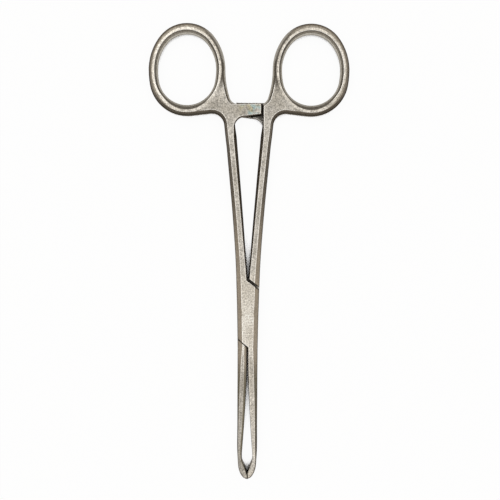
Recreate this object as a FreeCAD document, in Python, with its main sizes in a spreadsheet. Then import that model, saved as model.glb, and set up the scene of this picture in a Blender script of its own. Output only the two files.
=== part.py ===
import FreeCAD, Part
import math
import os

# Allis tissue forceps, a box-lock instrument of three pieces, lying flat.
# +Y runs from the pivot to the finger rings, +Z is up, and the origin is on
# the pivot axis at the underside of the box.

Vector = FreeCAD.Vector

# Each row: alias, millimetres or degrees, what it is.
sizeRows = [
    ("boxThickness", 5.0, "box, and width of the toothed tips"),
    ("boxHalfWidth", 3.62, "box, half width at the pivot"),
    ("boxUpperHalf", 4.0, "box, half width where the shanks leave"),
    ("boxLowerHalf", 3.4, "box, half width where the jaws leave"),
    ("boxReach", 12.0, "from the pivot to where shanks and jaws leave"),
    ("boxBevelWidth", 1.6, "ground bevel on the long sides of the box, seen from above"),
    ("boxBevelDrop", 1.15, "how far that bevel comes down"),
    ("seamInset", 0.02, "how far a bar stays inside the block or root it joins"),
    ("rootOverlap", 1.0, "how far a shank reaches into the ring's root"),
    ("slotHeight", 1.9, "slot between the two plates"),
    ("slotPlay", 0.05, "gap between the tongue and each plate"),
    ("flankPlay", 0.15, "gap between the tongue and the end walls of the slot"),
    ("flankLean", 15.5, "angle of the tongue's upper flank from the long axis"),
    ("armLean", 8.0, "angle at which the tongue's round side runs out to the side of the box"),
    ("openAngle", 60.0, "how far the halves open"),
    ("shoulderAngle", 52.5, "direction that the shoulders face, from +X"),
    ("upperPlateInset", 3.55, "the plates' edge by the right shank, less than the box's reach"),
    ("lowerPlateInset", 2.9, "the plates' edge by the left jaw, less than the box's reach"),
    ("upperShoulderGap", 0.95, "open gap at the right shank's shoulder"),
    ("lowerShoulderGap", 0.25, "open gap at the left jaw's shoulder"),
    ("pinRadius", 1.25, "flush pivot pin"),
    ("pinPlay", 0.04, "radial gap between pin and tongue"),
    ("shankTop", 60.0, "pivot to where the shank runs into the ring's root"),
    ("shankRootGap", 0.25, "half gap between the shanks at the box"),
    ("shankTopGap", 4.1, "half gap between the shanks at the top"),
    ("shankTopHalf", 7.97, "outer half width of the shanks at the top"),
    ("shankInnerEdge", 0.4, "broken inner edge of the shanks at the box"),
    ("ringThickness", 3.6, "rings, ring roots and upper shanks"),
    ("ringCentreX", 21.2, "centre of a ring from the long axis"),
    ("ringRise", 7.05, "shank's top to the lower end of a ring"),
    ("ringHalfWidth", 13.1, "ring, outside"),
    ("ringHalfLength", 15.85, "ring, outside"),
    ("upperSideAngle", 37.7, "how far the arc of a ring's side turns in the upper half, degrees"),
    ("lowerSideAngle", 10.1, "the same in the lower, fuller half, degrees"),
    ("bandSide", 3.14, "width of the ring's band at its sides"),
    ("bandEnd", 3.7, "width of the ring's band at its ends"),
    ("bandCrest", 1.0, "flat left between the ground rims of the band at its sides"),
    ("sideRound", 1.3, "radius from a ground rim to the side, on rings, roots and finger holes"),
    ("ringUnderSlope", 6.7, "slope of the ring's underside towards the shank, degrees"),
    ("crotchRadius", 4.2, "hollow between shank and ring"),
    ("rootStep", 4.85, "long axis to the root's edge beside the end of the other bar"),
    ("rootHollowX", 3.55, "centre of the round hollow above the ratchet, from the long axis"),
    ("rootHollowRise", 14.3, "shank's top to the centre of the same hollow"),
    ("rootHollowRadius", 3.2, "radius of the same hollow"),
    ("upperBarTop", 11.05, "shank's top to the upper side of the left, upper ratchet bar"),
    ("upperBarLow", 6.7, "shank's top to the lower side of the same bar"),
    ("lowerBarTop", 11.6, "shank's top to the upper side of the right, lower ratchet bar"),
    ("lowerBarLow", 6.4, "shank's top to the lower side of the same bar"),
    ("barRise", 0.15, "how much the upper side of a bar rises towards its end"),
    ("barTaper", 0.75, "how much the lower side of a bar rises towards its end"),
    ("barReach", 4.35, "how far a bar passes the long axis"),
    ("barEdge", 0.3, "broken edges of a bar"),
    ("barHollow", 3.0, "root's edge to where a bar's lower side gets straight"),
    ("barHollowStart", 2.4, "shank's end to where the hollow below a bar starts"),
    ("leaveInset", 0.78, "how far inside the root the hollow below a bar starts"),
    ("leaveLean", 20.0, "angle at which it leans out to the root's side"),
    ("barPlay", 0.1, "gap between the tips of facing ratchet teeth"),
    ("ratchetPitch", 1.4, "ratchet tooth to tooth"),
    ("ratchetDepth", 0.55, "height of a ratchet tooth"),
    ("ratchetTeeth", 4.0, "teeth on each bar"),
    ("jawRootGap", 0.12, "half gap between the jaws at the box"),
    ("jawEndGap", 1.7, "half gap between the jaws above the tips"),
    ("jawNeck", 46.8, "pivot to the thinnest place of the jaws"),
    ("jawNeckHeight", 3.2, "thickness of a jaw there"),
    ("jawHalfWidth", 3.37, "outer half width of the jaws there"),
    ("rightJawInner", 0.3, "bevel along the inner edge of the right jaw"),
    ("rightJawOuter", 1.15, "bevel along the outer edge of the right jaw"),
    ("leftJawInner", 1.1, "bevel along the inner edge of the left jaw"),
    ("leftJawOuter", 0.55, "bevel along the outer edge of the left jaw"),
    ("tipHalfWidth", 3.14, "outer half width where the tips turn in"),
    ("tipTurn", 50.3, "pivot to where the tips turn in"),
    ("tipReach", 56.2, "pivot to the end of the tips"),
    ("biteLength", 1.6, "how much of the tips meets"),
    ("toothDepth", 0.7, "height of a jaw tooth"),
    ("toothGap", 0.06, "gap between the meshed jaw teeth"),
    ("toothCount", 5.0, "teeth on the left tip; the right one has one more"),
]


def makeSheet():
    page = doc.addObject("Spreadsheet::Sheet", "Sizes")
    for row, (alias, value, note) in enumerate(sizeRows, start=1):
        page.set(f"A{row}", note)
        page.set(f"B{row}", str(value))
        page.setAlias(f"B{row}", alias)
    doc.recompute()
    return page


doc = FreeCAD.newDocument("forceps")
sheet = makeSheet()


def size(alias):
    return float(sheet.get(alias))


# A place that the sheet gives from the shank's top, as a distance from the pivot.
def aboveShank(alias):
    return size("shankTop") + size(alias)


midHeight = size("boxThickness") / 2
rim = (size("bandSide") - size("bandCrest")) / 2
ringCentre = Vector(size("ringCentreX"), aboveShank("ringRise") + size("ringHalfLength"), 0)
hollowCentre = Vector(size("rootHollowX"), aboveShank("rootHollowRise"), 0)
wholeLength = size("tipReach") + ringCentre.y + size("ringHalfLength")
up = Vector(0, 0, 1)
forward = Vector(0, 1, 0)
tiny = 1e-4


# Two underscores in a name stand for the dot of a property's part.
def bind(item, **links):
    for prop, formula in links.items():
        item.setExpression(prop.replace("__", "."), formula)
    return item


def ease(low, high, share, power=1.0):
    return low + (high - low) * share**power


# Goes from 0 to 1 with a soft start and end, and stays at 1.
def settle(share):
    return (1 - math.cos(math.pi * min(share, 1))) / 2


def direction(angle):
    return Vector(math.cos(math.radians(angle)), math.sin(math.radians(angle)), 0)


def keepShape(name, shape):
    item = doc.addObject("Part::Feature", name)
    item.Shape = shape
    return item


def joinedWire(edges):
    return Part.Wire(Part.sortEdges(edges)[0])


def closedPolygon(points):
    return Part.makePolygon(points + [points[0]])


def curveThrough(points, start, end):
    curve = Part.BSplineCurve()
    curve.interpolate(Points=points, InitialTangent=start, FinalTangent=end)
    return curve.toShape()


def mirrored(name, source):
    twin = doc.addObject("Part::Mirroring", name)
    twin.Source = source
    twin.Normal = Vector(1, 0, 0)
    return twin


def cut(name, base, tool):
    item = doc.addObject("Part::Cut", name)
    item.Base = base
    item.Tool = tool
    return item


def common(name, base, tool):
    item = doc.addObject("Part::Common", name)
    item.Base = base
    item.Tool = tool
    return item


def fuse(name, shapes):
    item = doc.addObject("Part::MultiFuse", name)
    item.Shapes = shapes
    item.Refine = True
    return item


# An outline carried along a direction, for a length that the sheet gives.
def raised(name, wire, way, length):
    item = doc.addObject("Part::Extrusion", name)
    item.Base = keepShape(name + "_outline", Part.Face(wire))
    item.DirMode = "Custom"
    item.Dir = way
    item.Solid = True
    return bind(item, LengthFwd=length)


def loftThrough(name, sections):
    loft = doc.addObject("Part::Loft", name)
    loft.Sections = sections
    loft.Solid = True
    loft.Ruled = False
    return loft


# A bar's section stands upright on two points of the plan, on the inner and the outer side of
# the bar. Its four corners are ground off flat, each by a width seen from above and a drop.
def barSection(name, inner, outer, height, innerCorner, outerCorner):
    along = (outer - inner).normalize()
    width = (outer - inner).Length

    def at(run, rise):
        return inner + along * run + up * (midHeight + rise)

    corners = []
    for facing in (1, -1):
        top = facing * height / 2
        side = [
            at(0, top - facing * innerCorner[1]),
            at(innerCorner[0], top),
            at(width - outerCorner[0], top),
            at(width, top - facing * outerCorner[1]),
        ]
        corners += side if facing == 1 else side[::-1]
    return keepShape(name, closedPolygon(corners))


def boxHalfAt(y):
    end = "boxUpperHalf" if y > 0 else "boxLowerHalf"
    return ease(size("boxHalfWidth"), size(end), abs(y) / size("boxReach"))


# The middle of the instrument, whole, before it is shared out between the two halves.
def boxBlock(name):
    reach = size("boxReach")
    bevel = (size("boxBevelWidth"), size("boxBevelDrop"))
    sections = []
    for y in (reach, 0, -reach):
        half = Vector(boxHalfAt(y), 0, 0)
        place = forward * y
        sections.append(barSection(
            f"{name}_section_{len(sections)}", place - half, place + half,
            size("boxThickness"), bevel, bevel))
    return loftThrough(name, sections)


# How the sides of a shank swing out: 1 is straight, and more is later.
innerPower = 1.1
outerPower = 1.3

# Shanks and jaws start inside the box, at this share of its reach. Inside the ring's root a
# shank gets slimmer on all sides by this much of its overlap.
footShare = 0.6
overlapLean = 0.16


# The way up a shank's side where it ends in the ring's root.
def shankWay(start, end, power):
    run = size("shankTop") - size("boxReach")
    return Vector(power * (size(end) - size(start)) / run, 1, 0).normalize()


# Shanks: from the box they swing outwards and get thinner up to the ring's root. They start
# inside the box and end inside the root.
def shank(name):
    stations = 7
    thinned = 1.7
    bevelPower = 0.7
    box = size("boxReach")
    top = size("shankTop")
    overlap = size("rootOverlap")
    inset = size("seamInset")
    sections = []

    def addSection(y, extra):
        share = max(0, min(1, (y - box) / (top - box)))
        innerX = ease(size("shankRootGap"), size("shankTopGap"), share, innerPower) + extra
        if y < box:
            outerX = boxHalfAt(y) - extra
        else:
            outerX = ease(size("boxUpperHalf"), size("shankTopHalf"), share, outerPower) - extra
        height = ease(size("boxThickness"), size("ringThickness"), settle(share * thinned))
        height -= 2 * extra
        edge = ease(size("shankInnerEdge"), rim, share, bevelPower)
        outerWide = ease(size("boxBevelWidth"), rim, share, bevelPower)
        outerDrop = ease(size("boxBevelDrop"), rim, share, bevelPower)
        sections.append(barSection(
            f"{name}_section_{len(sections)}", Vector(innerX, y, 0), Vector(outerX, y, 0), height,
            (edge, edge), (outerWide, outerDrop)))

    addSection(box * footShare, inset)
    for step in range(stations):
        addSection(ease(box, top - overlap, step / (stations - 1)), inset)
    addSection(top, inset)
    addSection(top + overlap, overlap * overlapLean)
    return loftThrough(name, sections)


# Jaws: nearly straight outside, hollowed inside, then turned in to the middle and spread to
# the width of the toothed bite. They start inside the box and end past the middle, for the
# teeth to be cut.
def jaw(name, innerEdge, outerEdge):
    straightStations = 6
    tipStations = 5
    thinned = 1.4
    hollowPower = 1.8
    bevelPower = 3
    spreadPower = 0.7
    innerSteepness = 0.6
    outerSteepness = 0.85
    neckShrink, turnShrink, tipShrink = 0.6, 0.35, 0.2
    box = -size("boxReach")
    neck = -size("jawNeck")
    turn = -size("tipTurn")
    biteTop = size("biteLength") - size("tipReach")
    inset = size("seamInset")
    sections = []

    # The outer bevel runs out of the box's own one.
    def addSection(inner, outer, height, shrink, onBox):
        innerWide = size(innerEdge) * shrink
        outerWide = ease(size(outerEdge) * shrink, size("boxBevelWidth"), onBox)
        outerDrop = ease(size(outerEdge) * shrink * outerSteepness, size("boxBevelDrop"), onBox)
        sections.append(barSection(
            f"{name}_section_{len(sections)}", inner, outer, height,
            (innerWide, innerWide * innerSteepness), (outerWide, outerDrop)))

    start = box * footShare
    addSection(Vector(size("jawRootGap"), start, 0), Vector(boxHalfAt(start) - inset, start, 0),
               size("boxThickness") - 2 * inset, 1, 1)
    for step in range(straightStations):
        share = step / (straightStations - 1)
        y = ease(box, neck, share)
        innerX = ease(size("jawRootGap"), size("jawEndGap"), share, hollowPower)
        outerX = ease(size("boxLowerHalf"), size("jawHalfWidth"), share) - inset
        height = ease(size("boxThickness"), size("jawNeckHeight"), settle(share * thinned))
        addSection(Vector(innerX, y, 0), Vector(outerX, y, 0), height - 2 * inset,
                   ease(1, neckShrink, share), (1 - share)**bevelPower)
    for step in range(tipStations):
        share = step / (tipStations - 1)
        inward = direction(-90 * share)
        outer = Vector(size("tipHalfWidth") * inward.x,
                       turn + (size("tipReach") - size("tipTurn")) * inward.y, 0)
        inner = Vector(ease(size("jawEndGap"), 0, share), ease(turn, biteTop, share), 0)
        height = ease(size("jawNeckHeight"), size("boxThickness"), share, spreadPower)
        addSection(inner, outer, height, ease(turnShrink, tipShrink, share), 0)
    past = sections[-1].Shape.translated(Vector(-size("toothDepth"), 0, 0))
    return loftThrough(name, sections + [keepShape(name + "_section_past", past)])


# The upper or, with level -1, the lower half of the ring's outline or of the finger hole: an arc
# up the right side, one over the end, and one down the left side. They touch where the first has
# turned by the given angle, and both radii follow from that. It can stop short, at an angle
# from +X.
def ovalHalf(halfWidth, halfLength, turn, level, until=None):
    touch = direction(turn)
    sideRadius = halfLength * touch.x - halfWidth * (1 - touch.y)
    endRadius = halfWidth * touch.y - halfLength * (1 - touch.x)
    sideRadius /= touch.x + touch.y - 1
    endRadius /= touch.x + touch.y - 1
    rightCentre = Vector(halfWidth - sideRadius, 0, 0)
    endCentre = Vector(0, halfLength - endRadius, 0)

    def arc(centre, radius, start, end):
        places = [centre + direction(angle) * radius for angle in (start, (start + end) / 2, end)]
        return Part.Arc(*[ringCentre + Vector(place.x, level * place.y, 0) for place in places])

    arcs = [arc(rightCentre, sideRadius, 0, turn)]
    arcs.append(arc(endCentre, endRadius, turn, until or 180 - turn))
    if until is None:
        arcs.append(arc(-rightCentre, sideRadius, 180 - turn, 180))
    return [part.toShape() for part in arcs]


def onRingLevel(item):
    return bind(item, Placement__Base__z="(Sizes.boxThickness - Sizes.ringThickness) / 2")


def fingerHole(name):
    edges = []
    for turn, level in (("upperSideAngle", 1), ("lowerSideAngle", -1)):
        edges += ovalHalf(size("ringHalfWidth") - size("bandSide"),
                          size("ringHalfLength") - size("bandEnd"), size(turn), level)
    return onRingLevel(raised(name, joinedWire(edges), up, "Sizes.ringThickness"))


def onRootHollow(angle):
    return hollowCentre + direction(angle) * size("rootHollowRadius")


# The side of a ring's root that faces the other half: straight up from the shank, round the
# hollow above the ratchet, and in a wide arc that touches hollow and ring.
def rootInnerSide():
    radius = size("rootHollowRadius")
    ringSide = ringCentre - Vector(size("ringHalfWidth"), 0, 0)
    run = ringSide - hollowCentre
    wide = (run.x**2 + run.y**2 - radius**2) / (2 * (run.x - radius))
    wideCentre = ringSide - Vector(wide, 0, 0)
    meets = hollowCentre - wideCentre
    hollowEnd = math.degrees(math.atan2(meets.y, meets.x))

    shankInner = Vector(size("shankTopGap"), size("shankTop"), 0)
    hollowStart = -math.degrees(math.acos((shankInner.x - hollowCentre.x) / radius))
    corner = onRootHollow(hollowStart)
    touch = onRootHollow(hollowEnd)
    return [
        Part.makeLine(shankInner, corner),
        Part.Arc(corner, onRootHollow((hollowStart + hollowEnd) / 2), touch).toShape(),
        Part.Arc(touch, wideCentre + direction(hollowEnd / 2) * wide, ringSide).toShape(),
    ]


# What the root's side loses to make room for the end of the other bar: from nothing at the
# shank to the step, and then straight.
def rootStepCurve():
    way = shankWay("shankRootGap", "shankTopGap", innerPower)
    start = Vector(size("shankTopGap"), size("shankTop"), 0) - way * size("rootOverlap")
    return curveThrough([start, Vector(size("rootStep"), aboveShank("lowerBarLow"), 0)],
                        way, forward)


def rootStepTool(name):
    curve = rootStepCurve()
    start = curve.Vertexes[0].Point
    low = curve.Vertexes[-1].Point
    top = Vector(low.x, hollowCentre.y, 0)
    edges = Part.makePolygon([low, top, Vector(0, top.y, 0), Vector(0, start.y, 0), start]).Edges
    return raised(name, joinedWire([curve] + edges), up, "Sizes.boxThickness")


# Ring, ring root and the top of the shank in one outline. The underside of the ring runs
# straight into the hollow above the shank.
def ringOutline():
    halfWidth = size("ringHalfWidth")
    halfLength = size("ringHalfLength")
    slope = math.radians(size("ringUnderSlope"))
    radius = size("crotchRadius")
    upper = ovalHalf(halfWidth, halfLength, size("upperSideAngle"), 1)
    lower = ovalHalf(halfWidth, halfLength, size("lowerSideAngle"), -1,
                     90 + size("ringUnderSlope"))
    under = lower[-1].Vertexes[-1].Point
    underWay = Vector(-math.cos(slope), math.sin(slope), 0)
    underNormal = Vector(-underWay.y, underWay.x, 0)

    # The hollow is an arc that touches the underside's line and the shank's outer side.
    shankOuter = Vector(size("shankTopHalf"), size("shankTop"), 0)
    sideWay = shankWay("boxUpperHalf", "shankTopHalf", outerPower)
    sideNormal = Vector(sideWay.y, -sideWay.x, 0)
    sideStart = shankOuter + sideNormal * radius
    gap = under + underNormal * radius - sideStart
    across = sideWay.x * underWay.y - sideWay.y * underWay.x
    centre = sideStart + sideWay * ((gap.x * underWay.y - gap.y * underWay.x) / across)
    arcStart = centre - underNormal * radius
    arcMiddle = centre - (underNormal + sideNormal).normalize() * radius
    arcEnd = centre - sideNormal * radius

    shankInner = Vector(size("shankTopGap"), size("shankTop"), 0)
    return joinedWire(rootInnerSide() + upper + lower + [
        Part.makeLine(under, arcStart),
        Part.Arc(arcStart, arcMiddle, arcEnd).toShape(),
        Part.makeLine(arcEnd, shankOuter),
        Part.makeLine(shankOuter, shankInner),
    ])


# A ratchet bar in plan, for the right half. It starts inside the root and ends square past the
# long axis. The hollow below it starts on the flat inside the root's ground rim and leans out,
# so that it crosses the root's side at an angle.
def barOutline(top, low):
    reach = -size("barReach")
    curve = rootStepCurve().Curve
    place = curve.parameter(Vector(size("shankTopGap"), aboveShank("barHollowStart"), 0))
    inward = Vector(1, 0, 0)
    lean = math.tan(math.radians(size("leaveLean")))
    leaving = (curve.tangent(place)[0] - inward * lean).normalize()
    hollowStart = curve.value(place) + inward * size("leaveInset")
    hollowEnd = Vector(size("rootStep") - size("barHollow"), low, 0)
    inside = size("rootStep") + size("barHollow")
    ends = [Vector(inside, top, 0), Vector(reach, top + size("barRise"), 0),
            Vector(reach, low + size("barTaper"), 0), hollowEnd]
    edges = Part.makePolygon(ends).Edges
    edges.append(curveThrough([hollowStart, hollowEnd], leaving, (ends[2] - ends[3]).normalize()))
    edges.append(Part.makeLine(hollowStart, Vector(inside, low, 0)))
    edges.append(Part.makeLine(Vector(inside, low, 0), ends[0]))
    return joinedWire(edges)


# What is taken off the lower bar from above to leave its saw teeth. Each rises towards the
# end of the bar and drops straight.
def ratchetTool(name):
    pitch = size("ratchetPitch")
    count = int(size("ratchetTeeth"))
    tipLevel = midHeight - size("barPlay") / 2
    start = size("shankTop")
    end = -size("barReach")
    above = size("boxThickness")
    points = [Vector(end - pitch, start, above), Vector(end - pitch, start, tipLevel)]
    for tooth in range(count):
        points.append(Vector(end + tooth * pitch, start, tipLevel))
        points.append(Vector(end + (tooth + 1) * pitch, start, tipLevel - size("ratchetDepth")))
    points.append(Vector(end + count * pitch, start, tipLevel))
    points.append(Vector(size("ringCentreX"), start, tipLevel))
    points.append(Vector(size("ringCentreX"), start, above))
    return raised(name, closedPolygon(points), forward, "Sizes.rootHollowRise")


# Takes off every edge that a test picks, with Part::Chamfer flat, by the same width both ways,
# and with Part::Fillet round.
def easedEdges(kind, name, base, width, picks):
    doc.recompute()
    item = doc.addObject(kind, name)
    item.Base = base
    item.Edges = [(number, width, width)
                  for number, edge in enumerate(base.Shape.Edges, start=1) if picks(edge.BoundBox)]
    return item


# A half's ring with its root and ratchet bar, for the right half. The rims of ring and root
# are ground and run round into their sides. The bar, which fills the rim where it leaves the
# root, has broken edges only.
def ringAndBar(name, outline):
    half = size("ringThickness") / 2

    # Picks the edges past the shank's top that lie level, this far from the middle.
    def level(distance):
        return lambda box: (
            box.ZLength < tiny and abs(abs(box.ZMin - midHeight) - distance) < tiny
            and box.YMax > size("shankTop") + tiny)

    plate = onRingLevel(raised(name + "_plate", ringOutline(), up, "Sizes.ringThickness"))
    pierced = cut(name + "_pierced", plate, fingerHole(name + "_hole"))
    rimmed = easedEdges("Part::Chamfer", name + "_rimmed", pierced, rim, level(half))
    rounded = easedEdges("Part::Fillet", name + "_rounded", rimmed, size("sideRound"),
                         level(half - rim))
    stepped = cut(name + "_stepped", rounded, rootStepTool(name + "_step"))
    bar = onRingLevel(raised(name + "_bar", outline, up, "Sizes.ringThickness / 2"))
    broken = easedEdges("Part::Chamfer", name + "_bar_broken", bar, size("barEdge"), lambda box: (
        box.ZMax < midHeight - half + tiny and box.XMin < size("rootStep") - size("barHollow")))
    toothed = cut(name + "_toothed_bar", broken, ratchetTool(name + "_ratchet"))
    return fuse(name, [stepped, toothed])


# The left half's ring is the same kind of piece turned over about the long axis, so its bar
# is the upper one.
def turnedOver(name, source):
    doc.recompute()
    item = keepShape(name, source.Shape)
    item.Placement = FreeCAD.Placement(up * size("boxThickness"), FreeCAD.Rotation(forward, 180))
    return item


# How far the plates reach towards each shoulder.
upperPlateReach = "Sizes.boxReach - Sizes.upperPlateInset"
lowerPlateReach = "Sizes.boxReach - Sizes.lowerPlateInset"


# Everything past a shoulder line, on one side of the box.
def pastShoulder(name, reach, turn):
    half = wholeLength / 2
    angle = f"(Sizes.shoulderAngle + {turn}) * 1 deg"
    item = doc.addObject("Part::Box", name)
    item.Length = half
    item.Width = wholeLength
    item.Height = wholeLength
    item.Placement.Rotation = FreeCAD.Rotation(up, size("shoulderAngle") + turn)
    return bind(item, Placement__Base__x=f"({reach}) * cos({angle}) + {half} * sin({angle})",
                Placement__Base__y=f"({reach}) * sin({angle}) - {half} * cos({angle})",
                Placement__Base__z=f"{-half}")


# Where two lines at the same distance from the pivot, facing two directions, meet.
def meeting(first, second, distance):
    across = first.x * second.y - first.y * second.x
    return Vector(second.y - first.y, first.x - second.x, 0) * (distance / across)


# The slot in plan. Its upper end wall follows the flank of the closed tongue, and then the
# side of the fully opened tongue. The lower end wall is the same, turned by half a turn.
def slotOutline():
    distance = size("boxHalfWidth") + size("flankPlay")
    closed = direction(180 - size("flankLean"))
    opened = direction(180 - size("openAngle"))
    reach = size("boxReach") * 2
    apex = meeting(closed, opened, distance)
    top = apex + Vector(closed.y, -closed.x, 0) * reach
    side = apex + Vector(-opened.y, opened.x, 0) * reach
    return closedPolygon([top, apex, side, -top, -apex, -side])


# The tongue in plan: a disc about the pivot, with an arm to the right shank and one to the
# left jaw. The arms' outer sides are those of the box.
def tongueOutline():
    radius = size("boxHalfWidth")
    reach = size("boxReach") * 2
    facing = direction(180 - size("flankLean"))
    leaving = direction(180 - size("armLean"))
    touch = facing * radius
    middle = direction(180 - (size("flankLean") + size("armLean")) / 2) * radius
    top = touch + Vector(facing.y, -facing.x, 0) * reach
    side = leaving * radius
    below = side + Vector(-leaving.y, leaving.x, 0) * reach
    edges = []
    for turn in (1, -1):
        edges.append(Part.makeLine(top * turn, touch * turn))
        edges.append(Part.Arc(touch * turn, middle * turn, side * turn).toShape())
        edges.append(Part.makeLine(side * turn, below * turn))
        edges.append(Part.makeLine(below * turn, top * -turn))
    return joinedWire(edges)


# Everything on one side of a zigzag that runs up through the bite.
def biteTool(name, side):
    pitch = size("boxThickness") / (size("toothCount") + 0.5)
    depth = size("toothDepth")
    margin = 1
    front = -size("tipReach") - margin
    far = -side * size("boxHalfWidth")
    points = [Vector(far, front, -pitch)]
    for step in range(-1, 2 * int(size("toothCount")) + 3):
        swing = depth / 2 if step % 2 else -depth / 2
        points.append(Vector(swing + side * size("toothGap") / 2, front, step * pitch / 2))
    points.append(Vector(far, front, points[-1].z))
    return raised(name, closedPolygon(points), forward, f"{margin} + 2 * Sizes.biteLength")


def pinShape(name, radius):
    item = doc.addObject("Part::Cylinder", name)
    return bind(item, Radius=radius, Height="Sizes.boxThickness")


def fullHeight(name):
    item = doc.addObject("Part::Box", name)
    item.Length = wholeLength
    item.Width = 2 * wholeLength
    item.Placement.Base = Vector(-wholeLength / 2, -wholeLength, 0)
    return bind(item, Height="Sizes.boxThickness")


# The female half: two plates with the slot between them, the left shank with its ring and the
# upper ratchet bar, and the right jaw.
def boxHalf():
    leftShank = mirrored("left_shank", shank("left_shank_twin"))
    upperBar = barOutline(aboveShank("upperBarTop"), aboveShank("upperBarLow"))
    leftRing = turnedOver("left_ring", ringAndBar("left_ring_twin", upperBar))
    block = cut("plates_upper_end", boxBlock("plates"),
                pastShoulder("past_right_shoulder", upperPlateReach, 0))
    plates = cut("plates_both_ends", block,
                 pastShoulder("past_left_shoulder", lowerPlateReach, 180))
    rightJaw = cut("right_jaw_toothed", jaw("right_jaw", "rightJawInner", "rightJawOuter"),
                   biteTool("right_bite", 1))
    whole = fuse("box_half_whole", [leftShank, leftRing, plates, rightJaw])
    level = common("box_half_level", whole, fullHeight("box_half_height"))
    slot = raised("slot", slotOutline(), up, "Sizes.slotHeight")
    bind(slot, Placement__Base__z="(Sizes.boxThickness - Sizes.slotHeight) / 2")
    slotted = cut("box_half_slotted", level, slot)
    return cut("box_half", slotted, pinShape("plate_hole", "Sizes.pinRadius"))


# The male half: the right shank with its ring and the lower ratchet bar, the tongue that fills
# the slot, and the left jaw. Shank and jaw have their full thickness past the shoulders only.
def tongueHalf():
    rightShank = shank("right_shank")
    lowerBar = barOutline(aboveShank("lowerBarTop"), aboveShank("lowerBarLow"))
    rightRing = ringAndBar("right_ring", lowerBar)
    leftJaw = cut("left_jaw_toothed",
                  mirrored("left_jaw", jaw("left_jaw_twin", "leftJawInner", "leftJawOuter")),
                  biteTool("left_bite", -1))
    upperPart = common("right_shank_shouldered", rightShank, pastShoulder(
        "right_shoulder", upperPlateReach + " + Sizes.upperShoulderGap", 0))
    lowerPart = common("left_jaw_shouldered", leftJaw, pastShoulder(
        "left_shoulder", lowerPlateReach + " + Sizes.lowerShoulderGap", 180))
    blank = fuse("tongue_blank", [rightShank, boxBlock("tongue_block"), leftJaw])
    band = raised("tongue_band", tongueOutline(), up, "Sizes.slotHeight - 2 * Sizes.slotPlay")
    bind(band, Placement__Base__z="(Sizes.boxThickness - Sizes.slotHeight) / 2 + Sizes.slotPlay")
    tongue = common("tongue", blank, band)
    whole = fuse("tongue_half_whole", [upperPart, rightRing, lowerPart, tongue])
    level = common("tongue_half_level", whole, fullHeight("tongue_half_height"))
    return cut("tongue_half", level, pinShape("tongue_hole", "Sizes.pinRadius + Sizes.pinPlay"))


def pivotPin():
    return pinShape("pivot_pin", "Sizes.pinRadius")


def checkDocument():
    for item in doc.Objects:
        if "Invalid" in item.State or "Error" in item.State:
            raise RuntimeError(f"{item.Name} did not build: {item.State}")


def export(node, item):
    item.Label = node
    shape = item.Shape
    if shape.isNull() or not shape.isValid():
        raise RuntimeError(f"{node} has no valid shape")
    print(node, len(shape.Solids), "solid", round(shape.Volume, 2), "mm3")
    shape.exportStep(f"parts/{node}.step")


nodes = {"box_half": boxHalf(), "tongue_half": tongueHalf(), "pivot_pin": pivotPin()}
doc.recompute()
checkDocument()
os.makedirs("parts", exist_ok=True)
for node, item in nodes.items():
    export(node, item)
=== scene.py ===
import math

import bpy
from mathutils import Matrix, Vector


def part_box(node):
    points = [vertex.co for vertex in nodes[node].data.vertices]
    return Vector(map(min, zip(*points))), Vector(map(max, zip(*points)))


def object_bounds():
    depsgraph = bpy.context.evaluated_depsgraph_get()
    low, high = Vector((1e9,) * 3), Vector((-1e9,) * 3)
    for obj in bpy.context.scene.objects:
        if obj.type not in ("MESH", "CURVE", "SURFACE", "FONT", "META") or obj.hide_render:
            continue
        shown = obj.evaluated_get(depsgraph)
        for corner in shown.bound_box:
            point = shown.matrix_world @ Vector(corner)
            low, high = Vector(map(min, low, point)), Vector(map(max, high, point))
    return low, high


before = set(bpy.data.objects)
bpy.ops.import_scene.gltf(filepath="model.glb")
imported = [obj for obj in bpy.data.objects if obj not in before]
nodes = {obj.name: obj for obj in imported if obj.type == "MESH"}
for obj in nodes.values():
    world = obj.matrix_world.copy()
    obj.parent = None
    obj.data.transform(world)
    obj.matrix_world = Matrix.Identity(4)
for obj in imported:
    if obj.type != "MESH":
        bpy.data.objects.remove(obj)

for leftOver in ("Cube", "Light", "Camera"):  # what Blender's own start file holds
    if leftOver in bpy.data.objects:
        bpy.data.objects.remove(bpy.data.objects[leftOver])
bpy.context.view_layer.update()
print("frame loaded:", ", ".join(sorted(nodes)))

mm = 0.001
shadeRays = 8         # rays that a Bevel or Ambient Occlusion node sends out from a spot
noiseRoughness = 0.6  # how strongly the finer layers of a noise show


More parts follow.
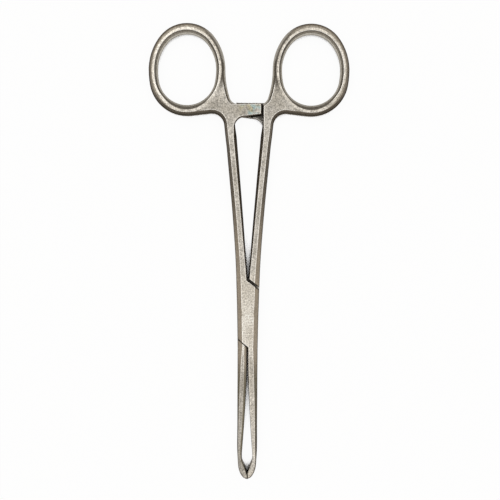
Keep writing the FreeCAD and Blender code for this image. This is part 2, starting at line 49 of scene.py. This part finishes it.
# Wraps the output of a shader node, so that shading can be written as sums.
class Value:
    def __init__(self, tree, socket):
        self.tree = tree
        self.socket = socket

    # Any node. Its inputs go by name or by place, each with a link or a plain number or colour.
    def node(self, kind, inputs=(), output=0, **settings):
        made = self.tree.nodes.new(kind)
        for name, setting in settings.items():
            setattr(made, name, setting)
        for place, given in dict(inputs).items():
            if isinstance(given, Value):
                self.tree.links.new(given.socket, made.inputs[place])
            else:
                made.inputs[place].default_value = given
        return Value(self.tree, made.outputs[output] if made.outputs else None)

    def math(self, operation, *others):
        terms = dict(enumerate((self,) + others))
        return self.node("ShaderNodeMath", terms, operation=operation)

    def __add__(self, other):
        return self.math("ADD", other)

    def __sub__(self, other):
        return self.math("SUBTRACT", other)

    def __mul__(self, other):
        return self.math("MULTIPLY", other)

    def __truediv__(self, other):
        return self.math("DIVIDE", other)

    def __pow__(self, other):
        return self.math("POWER", other)

    def __neg__(self):
        return self.math("MULTIPLY", -1)

    def __abs__(self):
        return self.math("ABSOLUTE")

    def __rsub__(self, other):
        return -self + other

    def __rtruediv__(self, other):
        return self.math("POWER", -1) * other

    __radd__ = __add__
    __rmul__ = __mul__

    def between(self, low, high):  # 0 up to low, 1 from high on, soft at both ends
        return self.node("ShaderNodeMapRange", {"Value": self, "From Min": low, "From Max": high},
                         interpolation_type="SMOOTHSTEP")

    # The first colour at 0, the second at 1. The node's colour sockets have only their places.
    def colour(self, first, second):
        return self.node("ShaderNodeMix", {0: self, 6: first, 7: second}, output=2,
                         data_type="RGBA")

    def part(self, axis):
        return self.node("ShaderNodeSeparateXYZ", {0: self}, output=axis)

    def vector(self, operation, *others, output=0):
        terms = dict(enumerate((self,) + others))
        return self.node("ShaderNodeVectorMath", terms, output=output, operation=operation)

    def scaled(self, factor):
        return self.node("ShaderNodeVectorMath", {0: self, "Scale": factor}, operation="SCALE")

    def noise(self, size, detail):
        return self.node("ShaderNodeTexNoise", {
            "Vector": self, "Scale": 1 / size, "Detail": detail, "Roughness": noiseRoughness})

    def swing(self, strength):  # a noise of 0 to 1 as a change up and down of this strength
        return (self - 0.5) * strength


# An emptied node tree, and a value without a socket to start its nodes from.
def startTree(holder):
    holder.use_nodes = True
    holder.node_tree.nodes.clear()
    return Value(holder.node_tree, None)


cameraValues = {
    "aim": (0.64 * mm, 21.35 * mm),  # what lies in the middle of the picture
    "distance": 246 * mm,            # above the middle of the thickness
    "field": 171 * mm,               # what the picture takes in, at that height
    "roll": 0.30,                    # degrees
    "sensor": 36,                    # width behind the lens, which Blender counts in millimetres
    "nearest": 10 * mm,              # what is nearer than this isn't drawn
}


def addCamera():
    values = cameraValues
    data = bpy.data.cameras.new("camera")
    data.sensor_width = values["sensor"]
    data.lens = values["sensor"] * values["distance"] / values["field"]
    data.clip_start = values["nearest"]
    camera = bpy.data.objects.new("camera", data)
    bpy.context.collection.objects.link(camera)
    low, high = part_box("box_half")
    middle = (low[2] + high[2]) / 2
    camera.location = (*values["aim"], middle + values["distance"])
    camera.rotation_euler = (0, 0, math.radians(values["roll"]))
    bpy.context.scene.camera = camera


lightValues = {
    "overhead": (0.84, 0.84, 0.84, 1),
    "softbox": (1.25, 1.24, 1.22, 1),  # bright ring round the overhead field
    "walls": (0.60, 0.57, 0.53, 1),
    "horizon": (0.20, 0.19, 0.18, 1),
    "toOverhead": (0.92, 0.975),       # sines of the heights between which one turns to the next
    "toSoftbox": (0.60, 0.78),
    "toWalls": (0.04, 0.22),
    "lampSize": 0.45,
    "lampPlace": (-0.30, 0.40, 0.80),
    "lampPower": 0.22,                 # watts
}


def lightTheWorld():
    values = lightValues
    world = bpy.data.worlds.new("soft_studio")
    bpy.context.scene.world = world
    start = startTree(world)
    height = start.node("ShaderNodeTexCoord", output=0).part("Z")
    sky = height.between(*values["toWalls"]).colour(values["horizon"], values["walls"])
    sky = height.between(*values["toSoftbox"]).colour(sky, values["softbox"])
    sky = height.between(*values["toOverhead"]).colour(sky, values["overhead"])
    light = start.node("ShaderNodeBackground", {"Color": sky})
    start.node("ShaderNodeOutputWorld", {"Surface": light})


def addLamp():
    values = lightValues
    data = bpy.data.lights.new("softbox", "AREA")
    data.shape = "DISK"
    data.size = values["lampSize"]
    data.energy = values["lampPower"]
    lamp = bpy.data.objects.new("softbox", data)
    bpy.context.collection.objects.link(lamp)
    lamp.location = values["lampPlace"]
    away = lamp.location.normalized()
    lamp.rotation_euler = away.to_track_quat("Z", "Y").to_euler()


floorValues = {
    "size": 3.0,
    "paper": (0.9, 0.9, 0.9, 1),
    "white": (1, 1, 1, 1),           # what the camera and the steel's reflections see of it
    "keepsWhite": 0.94,              # how much of that is left in the shadow
    "gapReach": 2.3 * mm,            # painted shade: paper deep in a gap no wider than this goes dark
    "gapDark": (0.42, 0.51),         # shares of open sky at which it is dark, and white again
    "tipGap": (-50 * mm, -47 * mm),  # from here up a gap has to be narrower to go dark
    "gapLighter": 0.04,              # by this share of open sky
}


def paperMaterial():
    values = floorValues
    paper = bpy.data.materials.new("white_paper")
    start = startTree(paper)
    seen = start.node("ShaderNodeLightPath", output="Is Camera Ray")
    for name in ("Is Glossy Ray", "Is Transmission Ray"):
        seen = seen.math("MAXIMUM", start.node("ShaderNodeLightPath", output=name))
    # Painted shade: the paper goes dark deep in narrow gaps, by how little open sky a spot has.
    openSky = start.node("ShaderNodeAmbientOcclusion", {"Distance": values["gapReach"]},
                         output="AO", samples=shadeRays)
    along = start.node("ShaderNodeTexCoord", output="Object").part("Y")
    openSky = openSky + along.between(*values["tipGap"]) * values["gapLighter"]
    seen = seen * openSky.between(*values["gapDark"])
    matt = start.node("ShaderNodeBsdfDiffuse", {"Color": values["paper"]})
    white = start.node("ShaderNodeEmission", {"Color": values["white"]})
    both = start.node("ShaderNodeMixShader", {0: seen * values["keepsWhite"], 1: matt, 2: white})
    start.node("ShaderNodeOutputMaterial", {"Surface": both})
    return paper


def addFloor():
    half = floorValues["size"] / 2
    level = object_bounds()[0][2]
    corners = [(-half, -half, level), (half, -half, level), (half, half, level),
               (-half, half, level)]
    mesh = bpy.data.meshes.new("floor")
    mesh.from_pydata(corners, [], [(0, 1, 2, 3)])
    floor = bpy.data.objects.new("floor", mesh)
    bpy.context.collection.objects.link(floor)
    mesh.materials.append(paperMaterial())


addCamera()
bpy.context.scene.view_settings.view_transform = "Standard"
lightTheWorld()
addLamp()
addFloor()
print("camera, light and floor made")


# How far out a place lies in an oval about a centre: 0 in the middle, 1 on the oval.
def ovalShare(across, along, centre, reach):
    return (((across - centre[0]) / reach[0]) ** 2 + ((along - centre[1]) / reach[1]) ** 2) ** 0.5


surfaceValues = {
    "lineRadius": 0.40 * mm,           # how widely the edges are rounded, in the shading and for the painted highlight lines
    "shadeRadius": 0.8 * mm,            # how widely the painted shade changes from a flat to its slope
    "pinCentre": (0.0, 0.0),
    "pinReach": (2.1 * mm, 2.1 * mm),  # nothing is rounded inside, where the pin is ground flush
    "pinEdge": (1.0, 1.15),            # shares of that circle between which the rounding comes in
    "grainSize": 0.50 * mm,            # bead-blasted grain
    "grainDetail": 2.0,
    "cloudSize": 7 * mm,
    "cloudDetail": 3.0,
    "streakSize": (0.22 * mm, 7 * mm, 0.22 * mm),
    "streakDetail": 2.0,
}


# What the colour is worked out from at a spot: where it lies, which way it faces, its grain.
# Levels are how far up it faces: 1 on a flat, 0.7 on a slope of 45 degrees, 0 on a side.
class Surface:
    def __init__(self, start):
        values = surfaceValues
        self.place = start.node("ShaderNodeTexCoord", output="Object")
        self.across = self.place.part("X")
        self.along = self.place.part("Y")
        self.sharp = start.node("ShaderNodeNewGeometry", output="Normal")
        rounded = start.node("ShaderNodeBevel", {"Radius": values["lineRadius"]},
                             samples=shadeRays)
        # a softer rounding, from which the painted shade of the slopes is read
        paintedLight = start.node("ShaderNodeBevel", {"Radius": values["shadeRadius"]},
                          samples=shadeRays)
        offPin = ovalShare(self.across, self.along, values["pinCentre"],
                           values["pinReach"]).between(*values["pinEdge"])
        self.rounded = offPin.colour(self.sharp, rounded)
        self.level = abs(self.sharp.part("Z"))
        self.softLevel = abs(offPin.colour(self.sharp, paintedLight).part("Z"))
        self.grain = self.place.noise(values["grainSize"], values["grainDetail"])
        self.cloud = self.place.noise(values["cloudSize"], values["cloudDetail"])
        stretched = self.place.vector("DIVIDE", values["streakSize"])
        self.streaks = stretched.noise(1, values["streakDetail"])


ringValues = {
    "centre": (21.2 * mm, 82.5 * mm),   # of the right ring, which the left one mirrors
    "reach": (11.4 * mm, 14.05 * mm),   # half width and length, along the crest of the ring
    "crestAt": 1.0,                     # share of that oval at which the crest's painted highlight is brightest
    "crestReach": (0.02, 0.05),         # how far to either side it stays bright
    # how much the painted highlight brightens the crest
    "crestShine": 0.34,
    "crestFrom": (0.955, 0.975),        # inside which the ring falls off into the hole
    "crestTo": (1.025, 1.05),           # outside which its shoulder takes painted shade
    "shoulderTo": (1.12, 1.18),
    # painted shade on the shoulder outside the crest
    "shoulder": (0.30, 0.265, 0.215, 1),
    "rootAcross": (14 * mm, 18 * mm),   # where a ring runs into its shank its shoulder takes no painted shade
    "rootAlong": (74 * mm, 80 * mm),
    "holeTo": (0.985, 1.015),           # inside which the slopes are those of the hole
    "holeHigh": (0.12, 0.105, 0.085, 1),  # painted shade in the hole, darkest beside the flat
    "holeLow": (0.46, 0.43, 0.375, 1),    # and lighter deeper in the hole
    "holeLevels": (0.60, 0.84),
    "facingAcross": (12 * mm, 17 * mm),   # where the rings face each other, their outer sides have the painted shade of the hole too
    "facingFrom": (68.5 * mm, 71 * mm),   # have the colours of the hole too
}


# Shares of 0 to 1 that tell the parts of a ring from each other, which take its painted highlight
# and painted shade.
class Ring:
    def __init__(self, surface):
        values = ringValues
        across = abs(surface.across)
        oval = ovalShare(across, surface.along, values["centre"], values["reach"])
        self.crest = 1 - abs(oval - values["crestAt"]).between(*values["crestReach"])
        self.fromCrest = oval.between(*values["crestFrom"])
        root = 1 - across.between(*values["rootAcross"])
        root = root * (1 - surface.along.between(*values["rootAlong"]))
        shoulder = oval.between(*values["crestTo"]) * (1 - root)
        self.shoulder = shoulder * (1 - oval.between(*values["shoulderTo"]))
        facing = 1 - across.between(*values["facingAcross"])
        self.facing = facing * surface.along.between(*values["facingFrom"])
        self.outside = oval.between(*values["holeTo"]) * (1 - self.facing)


jawValues = {
    "from": (-24 * mm, -14 * mm),       # all jaw below the first, none above the second
    "tipFrom": (-53 * mm, -49.5 * mm),  # and the same for the tip
    "leftShade": 0.24,                  # painted shade: how much darker the flat of a jaw is, and below 0 painted light
    "rightShade": -0.07,
    "leftDimming": 0.85,                   # how much weaker its painted highlight lines are, and how much painted shade its edges take instead
    "rightDimming": 0.35,
    # painted shade on the flats of the tips
    "tipShade": 0.08,
    "jawEdgeShade": 0.8,                    # how dark its painted edge shade goes where the highlight line is gone
    "jawEdgeShadeLevels": (0.88, 0.98),
    # painted shade on the bevels of the jaws
    "bevel": (0.27, 0.245, 0.185, 1),
}


# The shares of jaw and tip at a spot, with the painted shade of the jaw on its side and how far
# its painted highlight lines are dimmed.
class Jaw:
    def __init__(self, surface, shade, dimming):
        values = jawValues
        self.share = 1 - surface.along.between(*values["from"])
        self.tip = 1 - surface.along.between(*values["tipFrom"])
        self.shade = shade
        self.dimming = dimming


ratchetValues = {
    "inner": (0.13, 0.12, 0.105, 1),       # painted shade on level faces between the two bars, as on the teeth
    "innerMiddle": 2.5 * mm,               # height of the middle of the thickness
    "innerReach": (1.25 * mm, 1.45 * mm),  # how far above and below the middle they lie
    "innerFrom": (56 * mm, 60 * mm),
    "tintCentre": (0.9 * mm, 69.6 * mm),   # heat tint on the upper bar
    "tintReach": (5.0 * mm, 3.4 * mm),
    "tintEdge": (0.6, 1.0),                # shares of that oval between which it fades
    "tintShare": 0.75,
    "tintCool": (0.36, 0.50, 0.49, 1),
    "tintWarm": (0.52, 0.47, 0.31, 1),
    "hueSize": 3.2 * mm,                   # how the tint changes from cool to warm
    "hueDetail": 1.0,
    "hueLevels": (0.42, 0.58),
    "patchSize": 2.24 * mm,                # how it breaks up into patches
    "patchDetail": 0.0,
    "patchLevels": (0.34, 0.64),
}


def heatTinted(surface, colour):
    values = ratchetValues
    oval = ovalShare(surface.across, surface.along, values["tintCentre"], values["tintReach"])
    hue = surface.place.noise(values["hueSize"], values["hueDetail"])
    film = hue.between(*values["hueLevels"]).colour(values["tintCool"], values["tintWarm"])
    patch = surface.place.noise(values["patchSize"], values["patchDetail"])
    patch = patch.between(*values["patchLevels"])
    tint = (1 - oval.between(*values["tintEdge"])) * patch * values["tintShare"]
    return tint.colour(colour, film)


# Painted shade on the faces that lie between the two bars, about the middle of the thickness.
def paintedShadeBetweenBars(surface, colour):
    values = ratchetValues
    fromMiddle = abs(surface.place.part("Z") - values["innerMiddle"])
    inner = 1 - fromMiddle.between(*values["innerReach"])
    inner = inner * surface.along.between(*values["innerFrom"])
    return inner.colour(colour, values["inner"])


flatValues = {
    "bright": (0.63, 0.585, 0.515, 1),
    "dark": (0.47, 0.43, 0.365, 1),    # where the satin is clouded
    "cloudLevels": (0.35, 0.65),
    "levels": (0.91, 0.97),            # a spot under the lower one is no flat but a slope
    "boxBrightening": 0.40,                  # how much brighter the flats of the box are coloured
    "boxEnds": (11 * mm, 16 * mm),     # how far from the pivot that goes
    "topShade": 0.09,                  # painted shade: how much darker the flats of the rings and their roots are
    "topFrom": (60 * mm, 68 * mm),
    "streaks": 0.5,
    "grain": 2.3,
    "edge": (0.10, 0.088, 0.068, 1),   # painted shade on a flat beside a sharp edge, as round the tips
    "edgeLevels": (0.80, 0.93),
}


def flatColour(surface, ring, jaw, withTint):
    values = flatValues
    box = 1 - abs(surface.along).between(*values["boxEnds"])
    top = surface.along.between(*values["topFrom"])
    flat = surface.cloud.between(*values["cloudLevels"]).colour(values["bright"], values["dark"])
    # Painted highlight on the ring's crest, and painted shade on the jaws, tips, rings and roots.
    flat = flat.scaled(box * values["boxBrightening"] + ring.crest * ringValues["crestShine"]
                       - jaw.share * jaw.shade - jaw.tip * jawValues["tipShade"]
                       - top * values["topShade"] + 1 + surface.streaks.swing(values["streaks"]))
    if withTint:
        flat = heatTinted(surface, flat)
    flat = paintedShadeBetweenBars(surface, flat)

    # Painted shade on a flat beside a sharp edge.
    flat = surface.softLevel.between(*values["edgeLevels"]).colour(values["edge"], flat)
    # Painted shade along the edges of the tips, and of a jaw whose highlight lines are dimmed.
    edgeShade = jaw.tip.math("MAXIMUM", jaw.share * (jaw.dimming * jaw.dimming * jawValues["jawEdgeShade"]))
    edgeShade = edgeShade * (1 - surface.softLevel.between(*jawValues["jawEdgeShadeLevels"]))
    flat = edgeShade.colour(flat, values["edge"])
    # Painted shade on the ring's shoulder, and the hole's where the rings face each other.
    shoulder = ring.facing.colour(ringValues["shoulder"], ringValues["holeHigh"])
    flat = ring.shoulder.colour(flat, shoulder)
    return flat.scaled(1 + surface.grain.swing(values["grain"]))


# Painted shade: slopes and sides take darker colours than the flats, by how far they tilt.
slopeValues = {
    "bevel": (0.50, 0.44, 0.36, 1),         # the ground bevels of the box, beside their flat
    "rim": (0.27, 0.235, 0.19, 1),          # the steeper rims of rings and shanks
    "rimLevels": (0.73, 0.79),
    "outline": (0.050, 0.043, 0.034, 1),    # dark where a slope turns over to the side
    "outlineLevels": (0.50, 0.84),
    "side": (0.34, 0.31, 0.265, 1),
    "sideLevels": (0.10, 0.34),
    "streaks": 0.8,
    "grain": 0.9,
}


# The painted shade of a slope at a spot, by how far it tilts and where it lies.
def slopeColour(surface, ring, jaw):
    values = slopeValues
    soft = surface.softLevel
    bevel = jaw.share.colour(values["bevel"], jawValues["bevel"])
    high = surface.level.between(*values["rimLevels"]).colour(values["rim"], bevel)
    side = soft.between(*values["sideLevels"]).colour(values["side"], values["outline"])
    outside = soft.between(*values["outlineLevels"]).colour(side, high)
    # Painted shade on the slopes in the hole of a ring.
    inHole = soft.between(*ringValues["holeLevels"]).colour(
        ringValues["holeLow"], ringValues["holeHigh"])
    slope = ring.outside.colour(inHole, outside)
    return slope.scaled(1 + surface.streaks.swing(values["streaks"])
                        + surface.grain.swing(values["grain"]))


lineValues = {
    "paintedLight": (1.0, 0.97, 0.92, 1),     # painted highlight lines where flats and slopes meet
    "highlightTurn": (0.003, 0.03),        # how far rounding turns the surface, 0 for not at all
    "highlightLevels": (0.905, 0.935),
    # painted shade in corners and recesses
    "recessShade": (0.02, 0.017, 0.014, 1),
    "recessReach": 1.6 * mm,          # how far a wall casts painted shade into the corner beside it
    "recessDark": (0.42, 0.80),       # shares of open sky at which it is dark, and clean again
}


# Painted highlight lines where the rounding of an edge turns the surface, weaker on the jaws.
def withPaintedHighlightLines(surface, ring, jaw, colour):
    values = lineValues
    turned = 1 - surface.rounded.vector("DOT_PRODUCT", surface.sharp, output="Value")
    line = turned.between(*values["highlightTurn"])
    line = line * abs(surface.rounded.part("Z")).between(*values["highlightLevels"])
    line = line * ring.fromCrest * (1 - ring.shoulder)
    line = line * (1 - jaw.share * jaw.dimming) * (1 - jaw.tip)
    return line.colour(colour, values["paintedLight"])


# Painted shade: darkens the colour in corners and recesses, by how little open sky they have.
def withPaintedRecessShade(start, colour):
    values = lineValues
    openSky = start.node("ShaderNodeAmbientOcclusion", {"Distance": values["recessReach"]},
                         output="AO", samples=shadeRays)
    return openSky.between(*values["recessDark"]).colour(values["recessShade"], colour)


steelValues = {
    "metallic": 1.0,
    "roughness": 0.20,
    "cloudRoughness": 0.10,
    "grainRoughness": 0.08,
    "grainDepth": 0.020 * mm,
    "grazing": (0.30, 0.27, 0.24, 1),  # how it mirrors at a flat angle
}


def satinSteel(name, shade, dimming, withTint):
    values = steelValues
    steel = bpy.data.materials.new(name)
    start = startTree(steel)
    surface = Surface(start)
    ring = Ring(surface)
    jaw = Jaw(surface, shade, dimming)

    flat = flatColour(surface, ring, jaw, withTint)
    slope = slopeColour(surface, ring, jaw)
    onFlat = surface.level.between(*flatValues["levels"]) * ring.fromCrest
    colour = onFlat.colour(slope, flat)
    colour = withPaintedHighlightLines(surface, ring, jaw, colour)
    colour = withPaintedRecessShade(start, colour)

    bump = start.node("ShaderNodeBump", {
        "Distance": values["grainDepth"], "Height": surface.grain, "Normal": surface.rounded})
    rough = (values["roughness"] + surface.cloud.swing(values["cloudRoughness"])
             + surface.grain.swing(values["grainRoughness"]))
    shader = start.node("ShaderNodeBsdfPrincipled", {
        "Base Color": colour, "Roughness": rough, "Metallic": values["metallic"],
        "Normal": bump, "Specular Tint": values["grazing"]})
    start.node("ShaderNodeOutputMaterial", {"Surface": shader})
    return steel


# The left jaw belongs to the tongue's half, and the right jaw and the upper bar to the box's.
def finishHalves():
    values = jawValues
    # Two copies of the steel: the tongue's with painted shade on its jaw, the box's with heat
    # tint and a painted highlight on its jaw.
    ground = satinSteel("satin_steel_left_jaw_shade", values["leftShade"], values["leftDimming"], False)
    tinted = satinSteel("satin_steel_tinted_right_jaw_lit", values["rightShade"], values["rightDimming"], True)
    for name, node in nodes.items():
        for slot in node.material_slots:
            slot.material = tinted if name == "box_half" else ground
        print("finished", name)


finishHalves()
